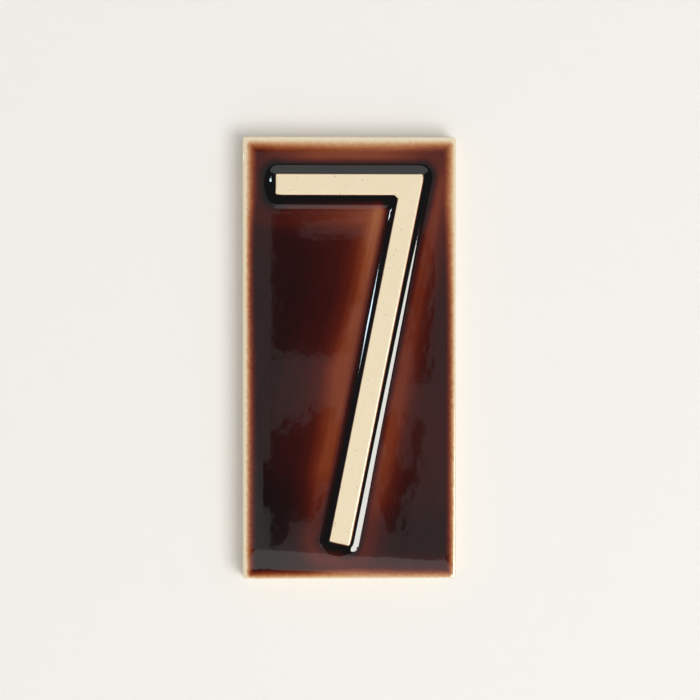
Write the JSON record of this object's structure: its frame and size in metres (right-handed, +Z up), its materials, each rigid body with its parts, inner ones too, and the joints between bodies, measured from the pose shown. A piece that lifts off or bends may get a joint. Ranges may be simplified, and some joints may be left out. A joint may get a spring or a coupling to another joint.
{
  "type": "house number plaque",
  "caption": "Upright oblong glazed earthenware tile with a raised numeral, bedded flat on a wall by its ribbed back to show a house number.",
  "frame": {"origin": "middle of the back face, which lies on the wall", "axes": "+X to the right seen from the front, +Z up along the tile's height, +Y into the wall; the front with the figure looks along -Y"},
  "size_m": [0.0734, 0.011, 0.152],
  "materials": {
    "glazed_earthenware": "glossy translucent brown glaze over cream earthenware, wiped off the face of the figure"
  },
  "bodies": {
    "root": {"number_tile": "glazed_earthenware"}
  },
  "joints": []
}
